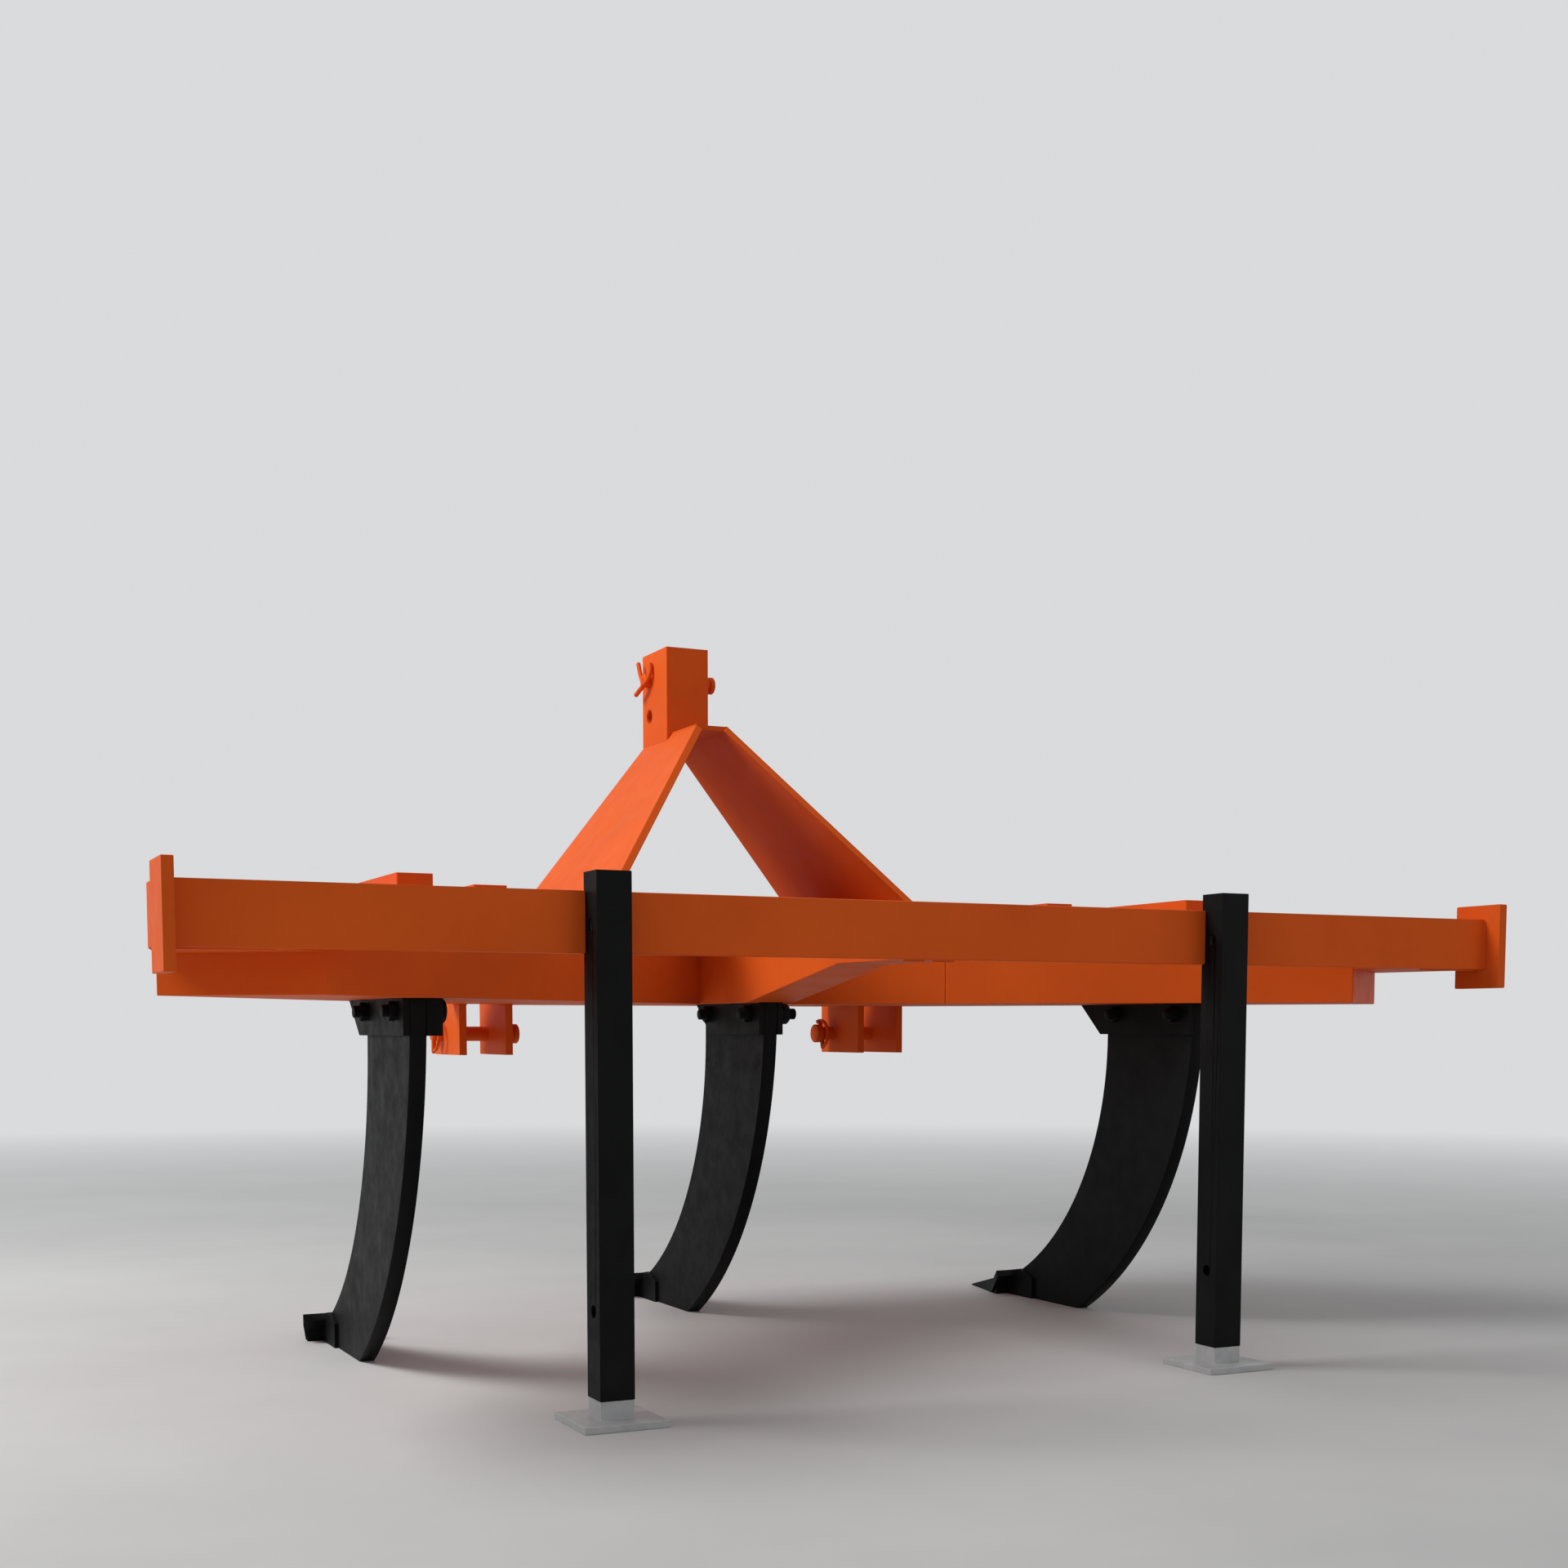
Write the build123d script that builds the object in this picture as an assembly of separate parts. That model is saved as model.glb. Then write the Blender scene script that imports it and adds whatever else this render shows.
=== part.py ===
from build123d import *
import os

os.makedirs("parts", exist_ok=True)

# Sizes in millimetres. X is across the machine, +Y is the way it travels, Z is up.
# Y is counted from the rear face of the rear bar, Z from the ground the points touch.

# Rear bar and the upright plates on its ends
machine_width = 2600.0
frame_top = 860.0
bar_thickness = 20.0
bar_height = 100.0
end_plate_thickness = 18.0
end_plate_rear_y = -39.0
end_plate_front_y = 78.0
end_plate_above = 29.0
end_plate_below = 38.0

# Box arms in plan: how far their end corners lie inside the machine's width, and the nose
arm_height = 167.0
arm_end_outer_inset = 35.0
arm_end_outer_y = 293.0
arm_end_inner_inset = 265.0
arm_end_inner_y = 104.0
arm_front_y = 1120.0
arm_root_margin = 13.0
gusset_inner_inset = 164.0
gusset_front_y = 114.0

# Nose box between the arms and the beam behind it
box_half_width = 395.0
box_front_y = 1240.0
beam_half_width = 52.0
beam_front_y = 919.0
beam_level_y = 673.0
beam_slope_end_y = 270.0

# Mast of two leaning plates with a cap between their tops
mast_height = 434.0
mast_plate_thickness = 15.0
mast_top_half_width = 37.0
mast_foot_inset = 11.5
mast_top_rear_y = 965.0
mast_foot_rear_y = 650.0
cap_thickness = 11.0

# Top link bracket, a channel that is open to the front
bracket_half_width = 50.0
bracket_depth = 144.0
bracket_overhang = 5.0
bracket_height = 188.0
bracket_skirt = 26.0
bracket_wall = 15.0
bracket_rear_plate = 12.0
top_hole_setback = 40.0
top_hole_diameter = 31.0
top_free_hole_above = 49.0
top_pin_above = 129.0
top_pin_diameter = 30.0
top_pin_head_diameter = 38.0
top_pin_head_length = 10.0
top_pin_tail = 16.0

# Lower link clevises beside the nose box, across its front and below the arms
clevis_gap = 25.0
clevis_width = 118.0
clevis_cheek_thickness = 16.0
clevis_behind = 40.0
clevis_reach = 148.0
clevis_top_reach = 55.0
clevis_below = 109.0
clevis_nose_above = 22.0
clevis_above = 122.0
clevis_corner_radius = 4.0
lower_pin_reach = 97.0
lower_pin_below = 64.0
lower_pin_diameter = 32.0
lower_pin_head_diameter = 46.0
lower_pin_head_length = 12.0
lower_pin_tail_left = 24.0
lower_pin_tail_right = 46.0

# Shanks: flat plates, straight at the top and curved forward to a narrow toe
tine_spacing = 828.0
centre_tine_ahead = 335.0
shank_thickness = 30.0
shank_rear_y = 333.0
shank_front_y = 638.0
shank_top_gap = 15.0
front_arc_below = 67.0
front_arc_end_y = 975.0
front_arc_end_z = 66.0
heel_y = 745.0
toe_step_y = 923.0
toe_end_y = 1010.0
toe_bottom = 12.0
toe_top = 48.0

# Side plates that hold a shank in its pocket
cheek_thickness = 12.0
cheek_below = 65.0
cheek_bottom_front_y = 649.0
cheek_front_y = 724.0
centre_cheek_back = 64.0

# Points: a fork over the toe, a wing plate that leans forward and a tapered tip
fork_half_width = 22.0
fork_rear_top = 49.0
wing_rear_y = 1010.0
wing_rear_top = 60.0
wing_rear_half_width = 66.0
wing_foot_y = 1084.0
wing_foot_half_width = 43.0
wing_thickness = 17.0
tip_root_y = 1032.0
tip_root_half_width = 54.0
tip_root_top_half_width = 44.0
tip_root_top = 42.0
tip_y = 1200.0
tip_half_width = 19.0
tip_top = 3.0

# Socket blocks on top of the frame
socket_half_width = 31.75
socket_length = 300.0
socket_height = 46.0
tine_socket_y = 341.0
spare_socket_x = 628.0
spare_socket_y = 555.0

# Parking stands: square tube on a guide block, with a foot
stand_x = 613.0
stand_y = -18.0
tube_width = 60.0
tube_wall = 4.0
tube_above = 30.0
notch_clearance = 1.0
guide_clearance = 0.3
guide_height = 50.0
neck_width = 18.0
slot_width = 20.0
slot_offset = 14.0
slot_below_hole = 45.0
lock_hole_diameter = 21.0
lock_hole_below = 55.0
lock_hole_spacing = 620.0
foot_width = 145.0
foot_thickness = 12.0
foot_collar_width = 58.0
foot_collar_height = 30.0
foot_plug_length = 78.0

# How far a cutting solid reaches past the faces it cuts
overlap = 20.0

# The three tines: name, x, how far its pattern lies ahead of the outer tines,
# and how far the front of its side plates lies behind theirs within the pattern
tines = [
    ("left", -tine_spacing, 0.0, 0.0),
    ("centre", 0.0, centre_tine_ahead, centre_cheek_back),
    ("right", tine_spacing, 0.0, 0.0),
]

# The two sides: name and sign of x
sides = [
    ("left", -1.0),
    ("right", 1.0),
]

half_width = machine_width / 2
bar_bottom = frame_top - bar_height
bar_end_x = half_width - end_plate_thickness
arm_bottom = frame_top - arm_height
shank_top = frame_top - shank_top_gap
pocket_half_width = shank_thickness / 2 + cheek_thickness
rear_most_y = stand_y - foot_width / 2
front_most_y = tip_y + centre_tine_ahead
middle_y = (rear_most_y + front_most_y) / 2


def save(node, solid):
    export_step(Pos(0, -middle_y, 0) * solid, "parts/" + node + ".step")


def upright(points, z_from, z_to):
    face = make_face(Polyline(*points, close=True))
    return Pos(0, 0, z_from) * extrude(face, amount=z_to - z_from, dir=(0, 0, 1))


def crosswise(points, x_from, x_to):
    face = make_face(Polyline(*points, close=True))
    placed = Plane.YZ.offset(x_from) * face
    return extrude(placed, amount=x_to - x_from, dir=(1, 0, 0))


def lengthwise(points, y_from, y_to):
    solid = extrude(make_face(Polyline(*points, close=True)), amount=y_to - y_from, dir=(0, 0, 1))
    return Pos(0, y_to, 0) * Rot(90, 0, 0) * solid


def block(x_from, x_to, y_from, y_to, z_from, z_to):
    box = Box(x_to - x_from, y_to - y_from, z_to - z_from)
    return Pos((x_from + x_to) / 2, (y_from + y_to) / 2, (z_from + z_to) / 2) * box


def rod(x_from, x_to, y, z, diameter):
    return Pos((x_from + x_to) / 2, y, z) * Rot(0, 90, 0) * Cylinder(diameter / 2, x_to - x_from)


def to_side(solid, sign):
    if sign < 0:
        return mirror(solid, about=Plane.YZ)
    return solid


# Pockets that the shanks and their side plates stand in
pockets = {}
for name, x, ahead, cheek_back in tines:
    pockets[name] = block(
        x - pocket_half_width,
        x + pocket_half_width,
        shank_rear_y + ahead,
        cheek_front_y + ahead - cheek_back,
        0,
        shank_top,
    )

# Rear bar, with a notch behind which each stand slides
notch_half_width = tube_width / 2 + notch_clearance
notch_front_y = stand_y + tube_width / 2 + notch_clearance
rear_bar = block(-bar_end_x, bar_end_x, 0, bar_thickness, bar_bottom, frame_top)
for name, sign in sides:
    x = sign * stand_x
    rear_bar -= block(
        x - notch_half_width,
        x + notch_half_width,
        -overlap,
        notch_front_y,
        bar_bottom - overlap,
        frame_top + overlap,
    )
save("rear_bar", rear_bar)

# End plates and the gussets that close the corner to the arm
arm_end_outer_x = half_width - arm_end_outer_inset
arm_end_inner_x = half_width - arm_end_inner_inset
for name, sign in sides:
    plate = block(
        bar_end_x,
        half_width,
        end_plate_rear_y,
        end_plate_front_y,
        bar_bottom - end_plate_below,
        frame_top + end_plate_above,
    )
    save("end_plate_" + name, to_side(plate, sign))
    gusset_points = [
        (half_width - gusset_inner_inset, bar_thickness),
        (bar_end_x, bar_thickness),
        (bar_end_x, end_plate_front_y),
        (half_width, end_plate_front_y),
        (half_width, gusset_front_y),
        (arm_end_outer_x, arm_end_outer_y),
        (arm_end_inner_x, arm_end_inner_y),
    ]
    save("end_gusset_" + name, to_side(upright(gusset_points, bar_bottom, frame_top), sign))

# Box arms from the ends of the bar to the nose; their inner edge runs on to the beam
clevis_inner_x = box_half_width + clevis_gap
clevis_outer_x = clevis_inner_x + clevis_width
inner_edge_run = (arm_end_inner_x - box_half_width) / (arm_end_inner_x - beam_half_width)
box_side_rear_y = arm_end_inner_y + inner_edge_run * (beam_front_y - arm_end_inner_y)
for name, sign in sides:
    arm_points = [
        (arm_end_inner_x, arm_end_inner_y),
        (arm_end_outer_x, arm_end_outer_y),
        (clevis_outer_x + arm_root_margin, arm_front_y),
        (box_half_width, arm_front_y),
        (box_half_width, box_side_rear_y),
    ]
    arm = to_side(upright(arm_points, arm_bottom, frame_top), sign)
    save("arm_" + name, arm - pockets[name])

# Nose box
box_points = [
    (-box_half_width, box_front_y),
    (-box_half_width, box_side_rear_y),
    (-beam_half_width, beam_front_y),
    (beam_half_width, beam_front_y),
    (box_half_width, box_side_rear_y),
    (box_half_width, box_front_y),
]
save("front_box", upright(box_points, arm_bottom, frame_top) - pockets["centre"])

# Beam from the rear bar to the nose box, its underside rising to the rear
beam_points = [
    (bar_thickness, bar_bottom),
    (bar_thickness, frame_top),
    (beam_front_y, frame_top),
    (beam_front_y, arm_bottom),
    (beam_level_y, arm_bottom),
    (beam_slope_end_y, bar_bottom),
]
centre_beam = crosswise(beam_points, -beam_half_width, beam_half_width)
save("centre_beam", centre_beam - pockets["centre"])

# Mast plates: a leaning slab, square cut at its top, in the outline seen from the side
mast_top = frame_top + mast_height
mast_foot_half_width = box_half_width - mast_foot_inset
mast_run = mast_foot_half_width - mast_top_half_width
mast_length = (mast_height ** 2 + mast_run ** 2) ** 0.5
across_x = mast_plate_thickness * mast_height / mast_length
across_z = mast_plate_thickness * mast_run / mast_length
cap_slope = mast_run / mast_height
slab_points = [
    (mast_top_half_width, mast_top),
    (mast_top_half_width - across_x, mast_top - across_z),
    (mast_foot_half_width - across_x - across_z * cap_slope, frame_top),
    (mast_foot_half_width, frame_top),
]
side_points = [
    (mast_foot_rear_y, frame_top),
    (mast_top_rear_y, mast_top),
    (box_front_y, mast_top),
    (box_front_y, frame_top),
]
mast_outline = crosswise(side_points, 0, half_width)
mast_leg = lengthwise(slab_points, mast_foot_rear_y, box_front_y) & mast_outline
for name, sign in sides:
    save("mast_leg_" + name, to_side(mast_leg, sign))

# Cap between the tops of the mast plates
cap_half_width = mast_top_half_width - across_x
cap_low_half_width = cap_half_width + (cap_thickness - across_z) * cap_slope
cap_points = [
    (-mast_top_half_width, mast_top),
    (mast_top_half_width, mast_top),
    (cap_half_width, mast_top - across_z),
    (cap_low_half_width, mast_top - cap_thickness),
    (-cap_low_half_width, mast_top - cap_thickness),
    (-cap_half_width, mast_top - across_z),
]
save("mast_cap", lengthwise(cap_points, mast_top_rear_y, box_front_y))

# Top link bracket on the cap, its side walls reaching down to the mast plates
bracket_front_y = box_front_y + bracket_overhang
bracket_rear_y = bracket_front_y - bracket_depth
bracket_top = mast_top + bracket_height
bracket_inside = bracket_half_width - bracket_wall
top_hole_y = bracket_front_y - top_hole_setback
top_pin_z = mast_top + top_pin_above
bracket = block(
    -bracket_half_width,
    bracket_half_width,
    bracket_rear_y,
    bracket_front_y,
    mast_top - bracket_skirt,
    bracket_top,
)
bracket -= block(
    -bracket_inside,
    bracket_inside,
    bracket_rear_y + bracket_rear_plate,
    bracket_front_y + overlap,
    mast_top,
    bracket_top + overlap,
)
below_points = [
    (-mast_foot_half_width, frame_top),
    (-mast_top_half_width, mast_top),
    (mast_top_half_width, mast_top),
    (mast_foot_half_width, frame_top),
]
bracket -= lengthwise(below_points, 0, bracket_front_y + overlap)
for z, diameter in (
    (mast_top + top_free_hole_above, top_hole_diameter),
    (top_pin_z, top_pin_diameter),
):
    bracket -= rod(
        -bracket_half_width - overlap,
        bracket_half_width + overlap,
        top_hole_y,
        z,
        diameter,
    )
save("top_bracket", bracket)

top_pin = rod(
    -bracket_half_width - top_pin_tail,
    bracket_half_width,
    top_hole_y,
    top_pin_z,
    top_pin_diameter,
)
top_pin += rod(
    bracket_half_width,
    bracket_half_width + top_pin_head_length,
    top_hole_y,
    top_pin_z,
    top_pin_head_diameter,
)
save("top_pin", top_pin)

# Lower link cheeks, two for each link, and their pins
lower_pin_y = arm_front_y + lower_pin_reach
lower_pin_z = arm_bottom - lower_pin_below
cheek_points = [
    (arm_front_y - clevis_behind, arm_bottom - clevis_below),
    (arm_front_y + clevis_reach, arm_bottom - clevis_below),
    (arm_front_y + clevis_reach, arm_bottom + clevis_nose_above),
    (arm_front_y + clevis_top_reach, arm_bottom + clevis_above),
    (arm_front_y, arm_bottom + clevis_above),
    (arm_front_y, arm_bottom),
    (arm_front_y - clevis_behind, arm_bottom),
]
cheek_places = [
    ("inner", clevis_inner_x),
    ("outer", clevis_outer_x - clevis_cheek_thickness),
]
for name, sign in sides:
    for place, x_from in cheek_places:
        x_to = x_from + clevis_cheek_thickness
        cheek = crosswise(cheek_points, x_from, x_to)
        low_front_edge = cheek.edges().filter_by(Axis.X).group_by(Axis.Z)[0].sort_by(Axis.Y)[-1]
        cheek = fillet(low_front_edge, clevis_corner_radius)
        cheek -= rod(x_from - overlap, x_to + overlap, lower_pin_y, lower_pin_z, lower_pin_diameter)
        save("lower_cheek_" + name + "_" + place, to_side(cheek, sign))

# Each lower pin goes in from the right and shows its tail on the left
lower_pin_places = [
    ("left", -clevis_outer_x, -clevis_inner_x, lower_pin_tail_left),
    ("right", clevis_inner_x, clevis_outer_x, lower_pin_tail_right),
]
for name, x_left, x_right, tail in lower_pin_places:
    pin = rod(x_left - tail, x_right, lower_pin_y, lower_pin_z, lower_pin_diameter)
    pin += rod(
        x_right,
        x_right + lower_pin_head_length,
        lower_pin_y,
        lower_pin_z,
        lower_pin_head_diameter,
    )
    save("lower_pin_" + name, pin)

# Shanks: both edges run straight down and turn into one arc towards the toe
down = (0, -1)
front_arc_top = arm_bottom - front_arc_below
shank_edges = TangentArc((shank_rear_y, arm_bottom), (heel_y, 0), tangent=down)
shank_edges += Polyline(
    (shank_rear_y, arm_bottom),
    (shank_rear_y, shank_top),
    (shank_front_y, shank_top),
    (shank_front_y, front_arc_top),
)
shank_edges += TangentArc(
    (shank_front_y, front_arc_top),
    (front_arc_end_y, front_arc_end_z),
    tangent=down,
)
shank_edges += Polyline(
    (front_arc_end_y, front_arc_end_z),
    (front_arc_end_y, toe_top),
    (toe_end_y, toe_top),
    (toe_end_y, toe_bottom),
    (toe_step_y, toe_bottom),
    (toe_step_y, 0),
    (heel_y, 0),
)
shank_face = Plane.YZ.offset(-shank_thickness / 2) * make_face(shank_edges)
shank = extrude(shank_face, amount=shank_thickness, dir=(1, 0, 0))
for name, x, ahead, cheek_back in tines:
    save("shank_" + name, Pos(x, ahead, 0) * shank)

# Points: the fork fills the gap below the wing plate, whose sides taper in plan
fork_points = [
    (toe_step_y, 0),
    (toe_step_y, fork_rear_top),
    (front_arc_end_y, front_arc_end_z),
    (wing_rear_y, wing_rear_top),
    (wing_foot_y, 0),
]
fork = crosswise(fork_points, -fork_half_width, fork_half_width)
wing_length = ((wing_foot_y - wing_rear_y) ** 2 + wing_rear_top ** 2) ** 0.5
wing_lean_sine = wing_rear_top / wing_length
wing_lean_cosine = (wing_foot_y - wing_rear_y) / wing_length
wing_under_y = wing_rear_y - wing_thickness * wing_lean_sine
wing_under_z = wing_rear_top - wing_thickness * wing_lean_cosine
wing_points = [
    (wing_rear_y, wing_rear_top),
    (wing_foot_y, 0),
    (wing_foot_y - wing_thickness / wing_lean_sine, 0),
    (wing_under_y, wing_under_z),
]
wing_plan_points = [
    (-wing_rear_half_width, wing_under_y),
    (-wing_rear_half_width, wing_rear_y),
    (-wing_foot_half_width, wing_foot_y),
    (wing_foot_half_width, wing_foot_y),
    (wing_rear_half_width, wing_rear_y),
    (wing_rear_half_width, wing_under_y),
]
wing = crosswise(wing_points, -wing_rear_half_width, wing_rear_half_width)
wing &= upright(wing_plan_points, 0, wing_rear_top)
tip_rows = [
    (tip_root_y, tip_root_half_width, tip_root_top_half_width, tip_root_top),
    (tip_y, tip_half_width, tip_half_width, tip_top),
]
tip_sections = []
for y, low_half_width, top_half_width, top in tip_rows:
    corners = [
        (-low_half_width, y, 0),
        (low_half_width, y, 0),
        (top_half_width, y, top),
        (-top_half_width, y, top),
    ]
    tip_sections.append(make_face(Polyline(*corners, close=True)))
point = fork + wing + loft(tip_sections, ruled=True)
point -= shank
for name, x, ahead, cheek_back in tines:
    save("point_" + name, Pos(x, ahead, 0) * point)

# Side plates of the shanks
for name, x, ahead, cheek_back in tines:
    cheek_plate_points = [
        (shank_rear_y, arm_bottom - cheek_below),
        (cheek_bottom_front_y - cheek_back, arm_bottom - cheek_below),
        (cheek_front_y - cheek_back, arm_bottom),
        (cheek_front_y - cheek_back, shank_top),
        (shank_rear_y, shank_top),
    ]
    for side, sign in sides:
        plate = crosswise(cheek_plate_points, shank_thickness / 2, pocket_half_width)
        save("tine_cheek_" + name + "_" + side, Pos(x, ahead, 0) * to_side(plate, sign))

# Socket blocks on top of the frame, above the tines and on the spare places
socket_places = []
for name, x, ahead, cheek_back in tines:
    socket_places.append(("tine_socket_" + name, x, tine_socket_y + ahead))
for name, sign in sides:
    socket_places.append(("spare_socket_" + name, sign * spare_socket_x, spare_socket_y))
for node, x, y in socket_places:
    socket = block(
        x - socket_half_width,
        x + socket_half_width,
        y,
        y + socket_length,
        frame_top,
        frame_top + socket_height,
    )
    save(node, socket)

# Parking stands with the guide block that each slides on
tube_inside = tube_width / 2 - tube_wall
tube_bottom = foot_thickness + foot_collar_height
tube_top = frame_top + tube_above
guide_half = tube_inside - guide_clearance
lock_hole_z = frame_top - lock_hole_below
low_hole_z = lock_hole_z - lock_hole_spacing
guide_bottom = lock_hole_z - guide_height / 2
for name, sign in sides:
    x = sign * stand_x
    slot_x = x + slot_offset
    guide = block(
        x - guide_half,
        x + guide_half,
        stand_y - guide_half,
        stand_y + guide_half,
        guide_bottom,
        guide_bottom + guide_height,
    )
    guide += block(
        slot_x - neck_width / 2,
        slot_x + neck_width / 2,
        stand_y + guide_half,
        notch_front_y,
        guide_bottom,
        guide_bottom + guide_height,
    )
    guide -= rod(x - tube_width, x + tube_width, stand_y, lock_hole_z, lock_hole_diameter)
    save("stand_guide_" + name, guide)

    tube = block(
        x - tube_width / 2,
        x + tube_width / 2,
        stand_y - tube_width / 2,
        stand_y + tube_width / 2,
        tube_bottom,
        tube_top,
    )
    tube -= block(
        x - tube_inside,
        x + tube_inside,
        stand_y - tube_inside,
        stand_y + tube_inside,
        tube_bottom - overlap,
        tube_top + overlap,
    )
    tube -= block(
        slot_x - slot_width / 2,
        slot_x + slot_width / 2,
        stand_y,
        stand_y + tube_width,
        low_hole_z - slot_below_hole,
        tube_top + overlap,
    )
    for z in (lock_hole_z, low_hole_z):
        tube -= rod(x - tube_width, x + tube_width, stand_y, z, lock_hole_diameter)
    save("stand_tube_" + name, tube)

    foot_layers = [
        # half width, height from, height to
        (foot_width / 2, 0, foot_thickness),
        (foot_collar_width / 2, foot_thickness, tube_bottom),
        (tube_inside, tube_bottom, tube_bottom + foot_plug_length),
    ]
    foot = None
    for half, z_from, z_to in foot_layers:
        layer = block(x - half, x + half, stand_y - half, stand_y + half, z_from, z_to)
        foot = layer if foot is None else foot + layer
    save("stand_foot_" + name, foot)
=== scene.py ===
import math
import bmesh
import bpy
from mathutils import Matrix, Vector


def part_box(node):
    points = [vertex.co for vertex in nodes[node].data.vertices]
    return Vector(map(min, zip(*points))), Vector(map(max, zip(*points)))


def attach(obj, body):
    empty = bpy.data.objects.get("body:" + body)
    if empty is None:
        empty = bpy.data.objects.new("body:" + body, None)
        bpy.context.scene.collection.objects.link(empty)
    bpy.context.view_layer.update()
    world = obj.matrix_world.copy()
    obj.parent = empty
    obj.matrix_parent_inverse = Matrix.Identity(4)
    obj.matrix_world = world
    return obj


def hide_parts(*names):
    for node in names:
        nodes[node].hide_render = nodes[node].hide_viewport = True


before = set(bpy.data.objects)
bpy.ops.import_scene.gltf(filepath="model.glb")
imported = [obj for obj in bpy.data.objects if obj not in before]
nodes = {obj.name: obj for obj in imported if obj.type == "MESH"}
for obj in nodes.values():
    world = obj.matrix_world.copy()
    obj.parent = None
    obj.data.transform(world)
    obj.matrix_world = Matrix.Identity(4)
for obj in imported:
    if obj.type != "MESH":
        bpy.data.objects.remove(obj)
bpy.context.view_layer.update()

# Camera
# It stands low behind the left rear corner and looks forward to the right.
# The lens is shifted up, as the photograph was cropped with the horizon low.
camera_data = bpy.data.cameras.new("camera")
camera_data.sensor_width = 36.0
camera_data.lens = 44.61
camera_data.shift_y = 0.2565
camera_data.clip_end = 100.0
camera = bpy.data.objects.new("camera", camera_data)
bpy.context.scene.collection.objects.link(camera)
camera.location = (-1.716, -3.674, 0.641)
camera.rotation_euler = (math.radians(85.355), 0.0, math.radians(-25.743))
bpy.context.scene.camera = camera

# Box frame
# Arms, nose box, centre beam, rear bar and their plates are one steel weldment.
# It is shot-blasted and sprayed with orange enamel, which gathers dust on top.
ORANGE = (0.80, 0.118, 0.015, 1.0)
ORANGE_DEEP = (0.70, 0.099, 0.012, 1.0)
ORANGE_DUST = (0.68, 0.170, 0.050, 1.0)
FRAME_EDGE = 0.0025
WELD_RADIUS = 0.0035
WELD_PITCH = 0.005
BAR_FRONT = 21.0
BAR_UNDERSIDE = 760.0
BEAM_SIDE = 52.0
NOSE_SIDE = 395.0
END_PLATE_FACE = 1281.0
ARM_END = 1264.0
frame_pieces = ["rear_bar", "front_box", "centre_beam"]
for side in ("left", "right"):
    for start in ("end_plate_", "end_gusset_", "arm_", "spare_socket_"):
        frame_pieces.append(start + side)
for tine in ("left", "centre", "right"):
    frame_pieces.append("tine_socket_" + tine)


def add_node(material, kind, values=None, **settings):
    node = material.node_tree.nodes.new(kind)
    for key, value in settings.items():
        setattr(node, key, value)
    for key, value in (values or {}).items():
        node.inputs[key].default_value = value
    return node


def join(material, source, target):
    material.node_tree.links.new(source, target)


def new_material(name):
    material = bpy.data.materials.new(name)
    material.use_nodes = True
    shader = material.node_tree.nodes["Principled BSDF"]
    return material, shader


def noise(material, scale, detail=4.0, rough=0.55, stretch=(1.0, 1.0, 1.0)):
    place = add_node(material, "ShaderNodeTexCoord")
    mapping = add_node(material, "ShaderNodeMapping", {"Scale": stretch})
    values = {"Scale": scale, "Detail": detail, "Roughness": rough}
    texture = add_node(material, "ShaderNodeTexNoise", values)
    join(material, place.outputs["Object"], mapping.inputs["Vector"])
    join(material, mapping.outputs["Vector"], texture.inputs["Vector"])
    return texture.outputs["Fac"]


def spread(material, value, low, high, out_low, out_high):
    values = {"From Min": low, "From Max": high, "To Min": out_low, "To Max": out_high}
    ranged = add_node(material, "ShaderNodeMapRange", values)
    join(material, value, ranged.inputs["Value"])
    return ranged.outputs["Result"]


def blend_colours(material, factor, first, second):
    mix = add_node(material, "ShaderNodeMix", data_type="RGBA")
    join(material, factor, mix.inputs["Factor"])
    for socket, colour in ((mix.inputs["A"], first), (mix.inputs["B"], second)):
        if isinstance(colour, tuple):
            socket.default_value = colour
        else:
            join(material, colour, socket)
    return mix.outputs["Result"]


def add_bump(material, shader, heights):
    normal = None
    for height, strength, distance in heights:
        bump = add_node(material, "ShaderNodeBump", {"Strength": strength, "Distance": distance})
        join(material, height, bump.inputs["Height"])
        if normal is not None:
            join(material, normal, bump.inputs["Normal"])
        normal = bump.outputs["Normal"]
    join(material, normal, shader.inputs["Normal"])


def facing_up(material, low, high):
    geometry = add_node(material, "ShaderNodeNewGeometry")
    split = add_node(material, "ShaderNodeSeparateXYZ")
    join(material, geometry.outputs["Normal"], split.inputs["Vector"])
    return spread(material, split.outputs["Z"], low, high, 0.0, 1.0)


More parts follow.
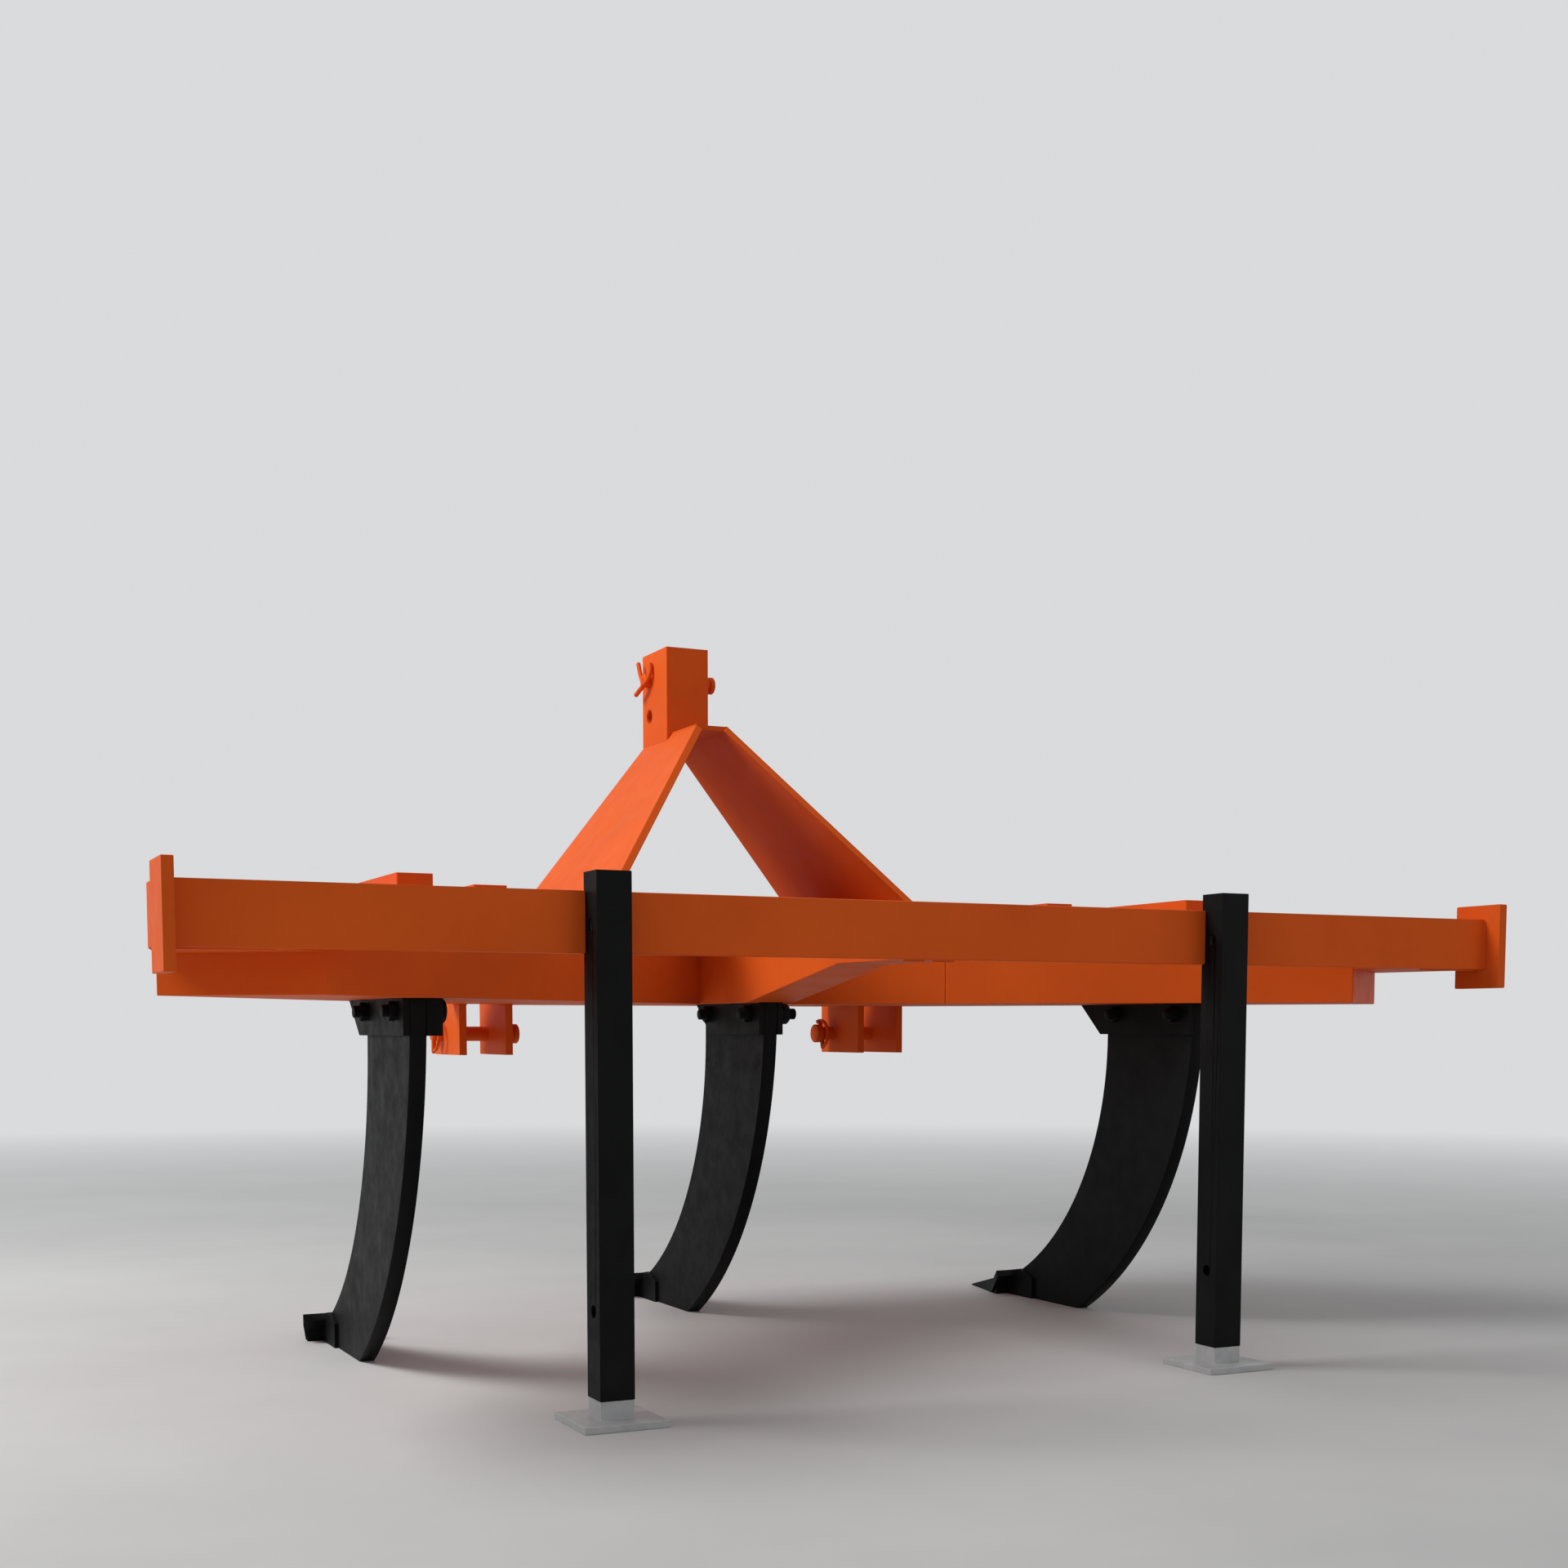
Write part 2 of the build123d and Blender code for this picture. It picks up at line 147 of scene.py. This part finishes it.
def orange_enamel():
    material, shader = new_material("orange_enamel")
    broad = noise(material, 2.6, 5.0, 0.6)
    streaks = noise(material, 14.0, 3.0, 0.5, (1.0, 1.0, 0.12))
    base = blend_colours(material, spread(material, broad, 0.35, 0.68, 0.0, 1.0), ORANGE, ORANGE_DEEP)
    base = blend_colours(material, spread(material, streaks, 0.56, 0.80, 0.0, 0.25), base, ORANGE_DEEP)
    settled = add_node(material, "ShaderNodeMath", operation="MULTIPLY")
    join(material, facing_up(material, 0.55, 1.0), settled.inputs[0])
    patches = noise(material, 9.0, 6.0, 0.7)
    join(material, spread(material, patches, 0.42, 0.75, 0.0, 0.4), settled.inputs[1])
    base = blend_colours(material, settled.outputs["Value"], base, ORANGE_DUST)
    join(material, base, shader.inputs["Base Color"])
    rough = spread(material, noise(material, 22.0, 5.0, 0.65), 0.3, 0.75, 0.42, 0.58)
    join(material, rough, shader.inputs["Roughness"])
    shader.inputs["Specular IOR Level"].default_value = 0.05
    peel = noise(material, 420.0, 2.0, 0.5)
    dents = noise(material, 6.0, 3.0, 0.5)
    add_bump(material, shader, [(dents, 0.10, 0.01), (peel, 0.06, 0.0004)])
    return material


def dress(node, material, edge):
    part = nodes[node]
    part.data.materials.clear()
    part.data.materials.append(material)
    weld = part.modifiers.new("weld", "WELD")
    weld.merge_threshold = 0.00002
    bevel = part.modifiers.new("edge", "BEVEL")
    bevel.width = edge
    bevel.segments = 2
    bevel.limit_method = "ANGLE"
    bevel.angle_limit = math.radians(35.0)
    bevel.harden_normals = True


# A millimetre place counted from the bar's rear face and the ground
def at(x, y, z):
    return Vector((x / 1000.0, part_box("rear_bar")[0][1] + y / 1000.0, z / 1000.0))


def close_ends(mesh, rings):
    mesh.faces.new(list(reversed(rings[0])))
    mesh.faces.new(rings[-1])


def bridge(mesh, rings):
    count = len(rings[0])
    for first, second in zip(rings, rings[1:]):
        for i in range(count):
            j = (i + 1) % count
            mesh.faces.new((first[i], first[j], second[j], second[i]))


def finish_piece(name, mesh, material, body):
    bmesh.ops.recalc_face_normals(mesh, faces=mesh.faces)
    data = bpy.data.meshes.new(name)
    mesh.to_mesh(data)
    mesh.free()
    data.polygons.foreach_set("use_smooth", [True] * len(data.polygons))
    data.set_sharp_from_angle(angle=math.radians(32.0))
    data.materials.append(material)
    piece = bpy.data.objects.new(name, data)
    bpy.context.scene.collection.objects.link(piece)
    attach(piece, body)
    return piece


# A rippled bead along a straight seam, tapered at both ends
def add_bead(mesh, start, end):
    run = end - start
    along = run.normalized()
    side = along.orthogonal().normalized()
    over = along.cross(side)
    steps = max(4, round(run.length / WELD_PITCH * 2))
    rings = []
    for i in range(steps + 1):
        swell = 1.0 if i % 2 else 0.84
        if i in (0, steps):
            swell = 0.45
        middle = start + run * (i / steps)
        ring = []
        for k in range(8):
            turn = math.radians(45.0 * k)
            reach = side * math.cos(turn) + over * math.sin(turn)
            ring.append(mesh.verts.new(middle + reach * WELD_RADIUS * swell))
        rings.append(ring)
    bridge(mesh, rings)
    close_ends(mesh, rings)


def welds(name, seams):
    mesh = bmesh.new()
    for start, end in seams:
        add_bead(mesh, at(*start), at(*end))
    finish_piece(name, mesh, enamel, "frame")


def upright(x, y, low=763.0, high=857.0):
    return ((x, y, low), (x, y, high))


def crosswise(x_from, x_to, y, z):
    return ((x_from, y, z), (x_to, y, z))


enamel = orange_enamel()
for piece in frame_pieces:
    dress(piece, enamel, FRAME_EDGE)

frame_seams = []
for sign in (-1.0, 1.0):
    frame_seams += [
        # Bar to end plate
        upright(sign * END_PLATE_FACE, 0.0),
        # Centre beam to bar, at its side and its underside
        upright(sign * BEAM_SIDE, BAR_FRONT),
        crosswise(sign * BEAM_SIDE, sign * 8.0, BAR_FRONT + 3.0, BAR_UNDERSIDE),
        # Arm to nose box, in front
        upright(sign * NOSE_SIDE, 1121.0, 696.0),
        # Arm to end gusset, in front
        upright(sign * ARM_END, 292.0),
        # End gusset to bar, underneath
        crosswise(sign * 1130.0, sign * 1278.0, BAR_FRONT, BAR_UNDERSIDE),
    ]
welds("frame_welds", frame_seams)

bar_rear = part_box("rear_bar")[0][1]
socket_seams = []
for node in (
    "tine_socket_left",
    "tine_socket_centre",
    "tine_socket_right",
    "spare_socket_left",
    "spare_socket_right",
):
    low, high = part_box(node)
    corners = []
    for x, y in ((low[0], low[1]), (high[0], low[1]), (high[0], high[1]), (low[0], high[1])):
        corners.append((x * 1000, (y - bar_rear) * 1000, low[2] * 1000))
    for i in range(4):
        socket_seams.append((corners[i], corners[(i + 1) % 4]))
welds("socket_welds", socket_seams)

# Mast
# Two leaning steel plates on the frame's top, with a cap between their upper ends.
# The top link bracket on the cap is a channel, open to the front, and all is welded.
MAST_EDGE = 0.0015
FRAME_TOP = 860.0
CAP_TOP = 1292.0
for piece in ("mast_leg_left", "mast_leg_right", "mast_cap", "top_bracket"):
    dress(piece, enamel, MAST_EDGE)


def lengthwise(x, y_from, y_to, z):
    return ((x, y_from, z), (x, y_to, z))


# Bracket to cap, at the back
mast_seams = [crosswise(-34.0, 34.0, 1100.0, CAP_TOP + 2.0)]
for sign in (-1.0, 1.0):
    mast_seams += [
        # Leg to frame, outside and inside
        lengthwise(sign * 384.0, 652.0, 1236.0, FRAME_TOP),
        lengthwise(sign * 363.5, 656.0, 1236.0, FRAME_TOP),
        # Cap to leg, behind the bracket
        lengthwise(sign * 37.0, 968.0, 1097.0, CAP_TOP),
    ]
welds("mast_welds", mast_seams)

# Link pins and lower clevises
# Each clevis is a pair of steel plates, welded to the front and underside of an arm.
# Turned steel pins with a head on the right go through, and a wire clip holds each tail.
CHEEK_EDGE = 0.002
PEG_RADIUS = 0.0050
BOW_RADIUS = 0.0038
TOP_CLIP_RADIUS = 0.0052
PIN_HEAD = 12.0
LOWER_PIN_Y = 1217.0
LOWER_PIN_Z = 629.0
# Node, outer face of the right plate, reach past it, Y, Z, shaft and head radius, disc on the tail
PINS = (
    ("top_pin", 50.0, 57.0, 1205.0, 1423.0, 14.95, 19.0, False),
    ("lower_pin_left", -420.0, 54.5, LOWER_PIN_Y, LOWER_PIN_Z, 15.95, 21.5, False),
    ("lower_pin_right", 538.0, 57.0, LOWER_PIN_Y, LOWER_PIN_Z, 15.95, 21.5, True),
)


# Rows give the distance along X in millimetres and the radius there
def turned_pin(name, node, y, z, rows):
    mesh = bmesh.new()
    rings = []
    for x, radius in rows:
        ring = []
        for k in range(48):
            turn = math.radians(7.5 * k)
            place = at(x, y + radius * math.cos(turn), z + radius * math.sin(turn))
            ring.append(mesh.verts.new(place))
        rings.append(ring)
    bridge(mesh, rings)
    close_ends(mesh, rings)
    piece = finish_piece(name, mesh, enamel, "frame")
    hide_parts(node)


def pin_rows(tail, face, reach, shaft, head, tail_disc):
    end = face + reach
    if tail_disc:
        rows = [
            (tail, 12.0),
            (tail, head - 1.6),
            (tail + 1.6, head),
            (tail + 14.0, head),
            (tail + 15.0, shaft),
        ]
    else:
        rows = [
            (tail, shaft - 6.0),
            (tail + 0.8, shaft - 2.4),
            (tail + 3.2, shaft),
        ]
    rows += [
        (face, shaft),
        (end - PIN_HEAD, shaft),
        (end - PIN_HEAD + 0.4, head - 0.8),
        (end - PIN_HEAD + 1.2, head),
        (end - 3.0, head),
        (end - 0.8, head - 2.2),
        (end, head - 7.0),
    ]
    return rows


for node, face, reach, y, z, shaft, head, tail_disc in PINS:
    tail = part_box(node)[0][0] * 1000
    turned_pin(node + "_turned", node, y, z, pin_rows(tail, face, reach, shaft, head, tail_disc))

clevis_seams = []
for side in ("left", "right"):
    for place in ("inner", "outer"):
        node = "lower_cheek_" + side + "_" + place
        dress(node, enamel, CHEEK_EDGE)
        low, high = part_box(node)
        for x in (low[0] * 1000, high[0] * 1000):
            clevis_seams.append(upright(x, 1120.0, 696.0, 812.0))
            clevis_seams.append(lengthwise(x, 1083.0, 1117.0, 693.0))
welds("clevis_welds", clevis_seams)


# A round wire along a smooth line through a few places, its ends rounded off
def add_wire(mesh, places, radius):
    ends = [places[0] * 2.0 - places[1]] + places + [places[-1] * 2.0 - places[-2]]
    line = []
    for i in range(1, len(ends) - 2):
        before, start, end, after = ends[i - 1 : i + 3]
        slope = end - before
        square = before * 2.0 - start * 5.0 + end * 4.0 - after
        cubic = start * 3.0 - before - end * 3.0 + after
        for k in range(10):
            t = k / 10.0
            line.append(0.5 * (start * 2.0 + slope * t + square * t ** 2 + cubic * t ** 3))
    line.append(places[-1])
    side = Vector((1.0, 0.0, 0.0))
    rings = []
    for i, middle in enumerate(line):
        along = (line[min(i + 1, len(line) - 1)] - line[max(i - 1, 0)]).normalized()
        over = along.cross(side).normalized()
        across = over.cross(along)
        swell = 0.6 if i in (0, len(line) - 1) else 1.0
        ring = []
        for k in range(14):
            turn = 2.0 * math.pi * k / 14.0
            reach = over * math.cos(turn) + across * math.sin(turn)
            ring.append(mesh.verts.new(middle + reach * radius * swell))
        rings.append(ring)
    bridge(mesh, rings)
    close_ends(mesh, rings)


# A lower clip: a peg with a collared head, and the bow from its head to its tip
def lower_clip(name, x, y, z, half_length, bow_reach, lean):
    mesh = bmesh.new()
    centre = at(x, y, z)
    along = Vector((0.0, math.cos(lean), math.sin(lean)))
    side = Vector((0.0, -math.sin(lean), math.cos(lean)))
    peg_rows = [
        (1.00, 1.2),
        (0.96, 1.9),
        (0.78, 1.9),
        (0.74, 1.0),
        (-0.90, 1.0),
        (-0.97, 0.8),
        (-1.00, 0.4),
    ]
    rings = []
    for reach, swell in peg_rows:
        ring = []
        for k in range(20):
            turn = math.radians(18.0 * k)
            out = side * math.cos(turn) + Vector((1.0, 0.0, 0.0)) * math.sin(turn)
            place = centre + along * reach * half_length + out * swell * PEG_RADIUS
            ring.append(mesh.verts.new(place))
        rings.append(ring)
    bridge(mesh, rings)
    close_ends(mesh, rings)
    bow = []
    for i in range(7):
        turn = math.pi * i / 6.0
        rise = along * math.cos(turn) * half_length * 0.87
        bow.append(centre + rise + side * math.sin(turn) * bow_reach)
    add_wire(mesh, bow, BOW_RADIUS)
    finish_piece(name, mesh, enamel, "frame")


lower_clip("lower_clip_left", -556.0, LOWER_PIN_Y, LOWER_PIN_Z, 0.043, 0.043, math.radians(90.0))
lower_clip("lower_clip_right", 395.0, 1220.0, 627.0, 0.036, 0.034, math.radians(76.0))

# The top clip is a wire whose legs spread above the bend where they cross
top_clip = bmesh.new()
straight_leg = [
    (-64, 1236, 1467),
    (-65, 1221, 1440),
    (-66, 1203, 1413),
    (-67, 1222, 1403),
    (-68, 1243, 1395),
]
bowed_leg = [
    (-56, 1186, 1460),
    (-57, 1180, 1440),
    (-61, 1188, 1422),
    (-66, 1204, 1412),
]
for leg in (straight_leg, bowed_leg):
    add_wire(top_clip, [at(*place) for place in leg], TOP_CLIP_RADIUS)
finish_piece("top_clip", top_clip, enamel, "frame")

# Tines
# Shanks flame-cut from 30 mm plate, held between side plates and bolted through.
# They are painted black, and the points are forged and forked over the toe.
BLACK = (0.0048, 0.0050, 0.0051, 1.0)
BLACK_GREY = (0.0095, 0.0098, 0.0100, 1.0)
SHANK_EDGE = 0.002
POINT_EDGE = 0.0015
SIDE_PLATE_EDGE = 0.001
BOLT_ROWS = (380.0, 587.0)
BOLT_Z = 671.0
PLATES_HALF = 27.0
PACKING = 16.0
PACKING_CHAMFER = 1.2
PACKING_FRONT_LOW = 649.0
PACKING_FRONT_HIGH = 724.0
NUT_BORE = 9.0
LEFT_NUT_HALF = 15.0
RIGHT_NUT_HALF = 18.5
WASHER_RADIUS = 17.0
WASHER_STEP = 0.8
THREAD_CREST = 11.4
THREAD_ROOT = 10.5
THREAD_PITCH = 2.5
# Distances along a stud are counted from the side plate's face
LEFT_NUT = (0.8, 13.8)
LEFT_END = 25.5
# Name, X, how far ahead of the outer tines, edges of the right nuts, end of the right thread
TINES = (
    ("left", -828.0, 0.0, (PACKING + 0.8, PACKING + 16.0), PACKING + 18.5),
    ("centre", 0.0, 335.0, (0.8, 16.4, 32.0), 49.0),
    ("right", 828.0, 0.0, (0.8, 16.4, 32.0), 49.0),
)


def black_paint(name, scale):
    material, shader = new_material(name)
    broad = noise(material, scale, 6.0, 0.65)
    base = blend_colours(material, spread(material, broad, 0.40, 0.72, 0.0, 1.0), BLACK, BLACK_GREY)
    join(material, base, shader.inputs["Base Color"])
    rough = spread(material, noise(material, scale * 4.0, 5.0, 0.6), 0.3, 0.75, 0.42, 0.62)
    join(material, rough, shader.inputs["Roughness"])
    shader.inputs["Specular IOR Level"].default_value = 0.07
    grain = noise(material, 300.0, 3.0, 0.6)
    waves = noise(material, 18.0, 3.0, 0.5)
    add_bump(material, shader, [(waves, 0.12, 0.004), (grain, 0.10, 0.0006)])
    return material


# A hexagon seen along the stud, its corners cut to a cone at both faces
def add_nut(mesh, x, y, sign, inner, outer, half_flats):
    face = half_flats * 0.96
    slope = math.tan(math.radians(30.0))
    rings = []
    for end, sense, circle in (
        (inner, 1.0, "bore"),
        (inner, 1.0, "face"),
        (inner, 1.0, "corner"),
        (outer, -1.0, "corner"),
        (outer, -1.0, "face"),
        (outer, -1.0, "bore"),
    ):
        ring = []
        for k in range(48):
            turn = math.radians(7.5 * k)
            to_flat = math.radians((7.5 * k + 30.0) % 60.0 - 30.0)
            corner = half_flats / math.cos(to_flat)
            wide = {"bore": NUT_BORE, "face": face, "corner": corner}[circle]
            lift = (corner - face) * slope if circle == "corner" else 0.0
            where = end + sense * lift
            place = at(
                x + sign * (PLATES_HALF + where),
                y + wide * math.cos(turn),
                BOLT_Z + wide * math.sin(turn),
            )
            ring.append(mesh.verts.new(place))
        rings.append(ring)
    bridge(mesh, rings)
    close_ends(mesh, rings)


# Washers and the thread are plain turned forms round the stud's line
def add_turned(mesh, x, y, sign, rows):
    rings = []
    for reach, radius in rows:
        ring = []
        for k in range(32):
            turn = math.radians(11.25 * k)
            place = at(
                x + sign * (PLATES_HALF + reach),
                y + radius * math.cos(turn),
                BOLT_Z + radius * math.sin(turn),
            )
            ring.append(mesh.verts.new(place))
        rings.append(ring)
    bridge(mesh, rings)
    close_ends(mesh, rings)


# Washer, nuts and thread of one end; the right ends have larger nuts
def add_stud_end(mesh, x, y, sign, nut_edges, end):
    half_flats = LEFT_NUT_HALF if sign < 0 else RIGHT_NUT_HALF
    seat = nut_edges[0] - WASHER_STEP
    washer = [
        (seat - 0.3, WASHER_RADIUS),
        (seat + 0.5, WASHER_RADIUS),
        (seat + WASHER_STEP, WASHER_RADIUS - 0.4),
        (seat + WASHER_STEP, NUT_BORE),
    ]
    add_turned(mesh, x, y, sign, washer)
    for inner, outer in zip(nut_edges, nut_edges[1:]):
        add_nut(mesh, x, y, sign, inner, outer, half_flats)
    thread = []
    crests = 2 * round((end - nut_edges[-1]) / THREAD_PITCH) + 1
    for i in range(crests + 1):
        reach = nut_edges[-1] - 0.5 + (end - 0.6 - nut_edges[-1]) * i / crests
        thread.append((reach, THREAD_CREST if i % 2 else THREAD_ROOT))
    add_turned(mesh, x, y, sign, thread + [(end, 9.6)])


shank_black = black_paint("shank_black", 7.0)
for tine, x, ahead, right_nuts, right_end in TINES:
    dress("shank_" + tine, shank_black, SHANK_EDGE)
    dress("point_" + tine, shank_black, POINT_EDGE)
    for side in ("left", "right"):
        dress("tine_cheek_" + tine + "_" + side, shank_black, SIDE_PLATE_EDGE)
    for number, row in enumerate(BOLT_ROWS):
        mesh = bmesh.new()
        add_stud_end(mesh, x, row + ahead, -1.0, LEFT_NUT, LEFT_END)
        add_stud_end(mesh, x, row + ahead, 1.0, right_nuts, right_end)
        finish_piece("tine_stud_%s_%d" % (tine, number), mesh, shank_black, "frame")


# The left tine has a packing plate on its right side plate, cut to the same outline
def packing_plate():
    low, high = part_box("tine_cheek_left_right")
    face = high[0] * 1000
    rear = (low[1] - bar_rear) * 1000
    bottom = low[2] * 1000
    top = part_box("arm_left")[0][2] * 1000
    mesh = bmesh.new()
    rings = []
    for x, inset in (
        (face, 0.0),
        (face + PACKING - PACKING_CHAMFER, 0.0),
        (face + PACKING, PACKING_CHAMFER),
    ):
        ring = []
        for y, z in (
            (rear + inset, bottom + inset),
            (PACKING_FRONT_LOW - inset, bottom + inset),
            (PACKING_FRONT_HIGH - inset, top),
            (rear + inset, top),
        ):
            ring.append(mesh.verts.new(at(x, y, z)))
        rings.append(ring)
    bridge(mesh, rings)
    close_ends(mesh, rings)
    finish_piece("packing_plate_left", mesh, shank_black, "frame")


packing_plate()

# Parking stands
# Square black tube, slotted in front, slides on a guide block welded behind the bar.
# The foot is a galvanised plate with a collar, plugged into the end of the tube.
TUBE_EDGE = 0.002
GUIDE_EDGE = 0.001
FOOT_EDGE = 0.001
ZINC = (0.50, 0.505, 0.505, 1.0)
ZINC_DARK = (0.36, 0.365, 0.37, 1.0)


def galvanised():
    material, shader = new_material("galvanised")
    place = add_node(material, "ShaderNodeTexCoord")
    spangle = add_node(material, "ShaderNodeTexVoronoi", {"Scale": 85.0, "Randomness": 1.0})
    join(material, place.outputs["Object"], spangle.inputs["Vector"])
    tone = spread(material, spangle.outputs["Color"], 0.0, 1.0, 0.0, 0.45)
    base = blend_colours(material, tone, ZINC, ZINC_DARK)
    cloud = spread(material, noise(material, 11.0, 5.0, 0.6), 0.45, 0.75, 0.0, 0.5)
    base = blend_colours(material, cloud, base, ZINC_DARK)
    join(material, base, shader.inputs["Base Color"])
    shader.inputs["Metallic"].default_value = 0.35
    rough = spread(material, noise(material, 60.0, 4.0, 0.6), 0.3, 0.7, 0.45, 0.62)
    join(material, rough, shader.inputs["Roughness"])
    add_bump(material, shader, [(noise(material, 180.0, 4.0, 0.6), 0.12, 0.0008)])
    return material


# Painted shade: the dark brown and dark orange of the guide block inside the tube
GUIDE_SHADE = (0.012, 0.009, 0.007, 1.0)
GUIDE_SHADE_ORANGE = (0.060, 0.020, 0.008, 1.0)


# The guide block is painted near black brown with dark orange patches, as painted shade for the shadow
# inside the stand tube
def painted_shade_steel():
    material, shader = new_material("painted_shade_steel")
    patches = spread(material, noise(material, 38.0, 5.0, 0.65), 0.42, 0.66, 0.0, 1.0)
    base = blend_colours(material, patches, GUIDE_SHADE, GUIDE_SHADE_ORANGE)
    join(material, base, shader.inputs["Base Color"])
    rough = spread(material, noise(material, 90.0, 3.0, 0.5), 0.3, 0.7, 0.28, 0.55)
    join(material, rough, shader.inputs["Roughness"])
    add_bump(material, shader, [(noise(material, 240.0, 3.0, 0.6), 0.15, 0.0005)])
    return material


stand_black = black_paint("stand_black", 9.0)
zinc_coat = galvanised()
# The guide block's material is painted shade, not its own colour
guide_shade_paint = painted_shade_steel()
for side in ("left", "right"):
    dress("stand_guide_" + side, guide_shade_paint, GUIDE_EDGE)
    dress("stand_tube_" + side, stand_black, TUBE_EDGE)
    dress("stand_foot_" + side, zinc_coat, FOOT_EDGE)

# Floor and studio light
# A plain pale floor that runs into a pale backdrop far from the machine.
# A large soft lamp stands high on the left, with a weak fill behind.
FLOOR = (0.62, 0.62, 0.61, 1.0)
FLOOR_CLOUDED = (0.54, 0.54, 0.535, 1.0)
BACKDROP = (0.70, 0.705, 0.715, 1.0)
SOFT_SKY = (0.80, 0.81, 0.83, 1.0)
bpy.ops.mesh.primitive_plane_add(size=60.0, location=(0.0, 0.0, 0.0))
floor = bpy.context.active_object
floor.name = "floor"


def background_rays(tree):
    rays = tree.nodes.new("ShaderNodeLightPath")
    total = rays.outputs["Is Camera Ray"]
    for name in ("Is Glossy Ray", "Is Transmission Ray"):
        more = tree.nodes.new("ShaderNodeMath")
        more.operation = "MAXIMUM"
        tree.links.new(total, more.inputs[0])
        tree.links.new(rays.outputs[name], more.inputs[1])
        total = more.outputs["Value"]
    return total


floor_paint, floor_shader = new_material("floor_paint")
floor_shader.inputs["Roughness"].default_value = 0.85
floor_tone = spread(floor_paint, noise(floor_paint, 0.9, 5.0, 0.6), 0.3, 0.7, 0.0, 1.0)
floor_colour = blend_colours(floor_paint, floor_tone, FLOOR, FLOOR_CLOUDED)
join(floor_paint, floor_colour, floor_shader.inputs["Base Color"])
floor_place = add_node(floor_paint, "ShaderNodeNewGeometry")
far_off = add_node(floor_paint, "ShaderNodeVectorMath", operation="LENGTH")
join(floor_paint, floor_place.outputs["Position"], far_off.inputs[0])
fade = spread(floor_paint, far_off.outputs["Value"], 2.6, 9.0, 0.0, 1.0)
seen_fade = add_node(floor_paint, "ShaderNodeMath", operation="MULTIPLY")
join(floor_paint, fade, seen_fade.inputs[0])
join(floor_paint, background_rays(floor_paint.node_tree), seen_fade.inputs[1])
far_tone = add_node(floor_paint, "ShaderNodeEmission", {"Color": BACKDROP, "Strength": 1.0})
floor_mix = add_node(floor_paint, "ShaderNodeMixShader")
join(floor_paint, seen_fade.outputs["Value"], floor_mix.inputs["Fac"])
join(floor_paint, floor_shader.outputs["BSDF"], floor_mix.inputs[1])
join(floor_paint, far_tone.outputs["Emission"], floor_mix.inputs[2])
floor_end = floor_paint.node_tree.nodes["Material Output"]
join(floor_paint, floor_mix.outputs["Shader"], floor_end.inputs["Surface"])
floor.data.materials.append(floor_paint)


def soft_lamp(name, place, target, size, power):
    data = bpy.data.lights.new(name, "AREA")
    data.shape = "SQUARE"
    data.size = size
    data.energy = power
    lamp = bpy.data.objects.new(name, data)
    bpy.context.scene.collection.objects.link(lamp)
    lamp.location = place
    aim = Vector(target) - Vector(place)
    lamp.rotation_euler = aim.to_track_quat("-Z", "Y").to_euler()


soft_lamp("key_lamp", (-4.0, 1.0, 4.5), (0.0, 0.1, 0.6), 2.4, 240.0)
soft_lamp("fill_lamp", (3.0, -5.5, 2.6), (0.0, 0.0, 0.6), 3.5, 30.0)

world = bpy.data.worlds.new("studio")
world.use_nodes = True
world_nodes = world.node_tree.nodes
soft_sky = world_nodes["Background"]
soft_sky.inputs["Color"].default_value = SOFT_SKY
soft_sky.inputs["Strength"].default_value = 0.42
seen_backdrop = world_nodes.new("ShaderNodeBackground")
seen_backdrop.inputs["Color"].default_value = BACKDROP
seen_backdrop.inputs["Strength"].default_value = 1.0
sky_mix = world_nodes.new("ShaderNodeMixShader")
world_links = world.node_tree.links
world_links.new(background_rays(world.node_tree), sky_mix.inputs["Fac"])
world_links.new(soft_sky.outputs["Background"], sky_mix.inputs[1])
world_links.new(seen_backdrop.outputs["Background"], sky_mix.inputs[2])
world_links.new(sky_mix.outputs["Shader"], world_nodes["World Output"].inputs["Surface"])
bpy.context.scene.world = world
bpy.context.scene.view_settings.view_transform = "Standard"
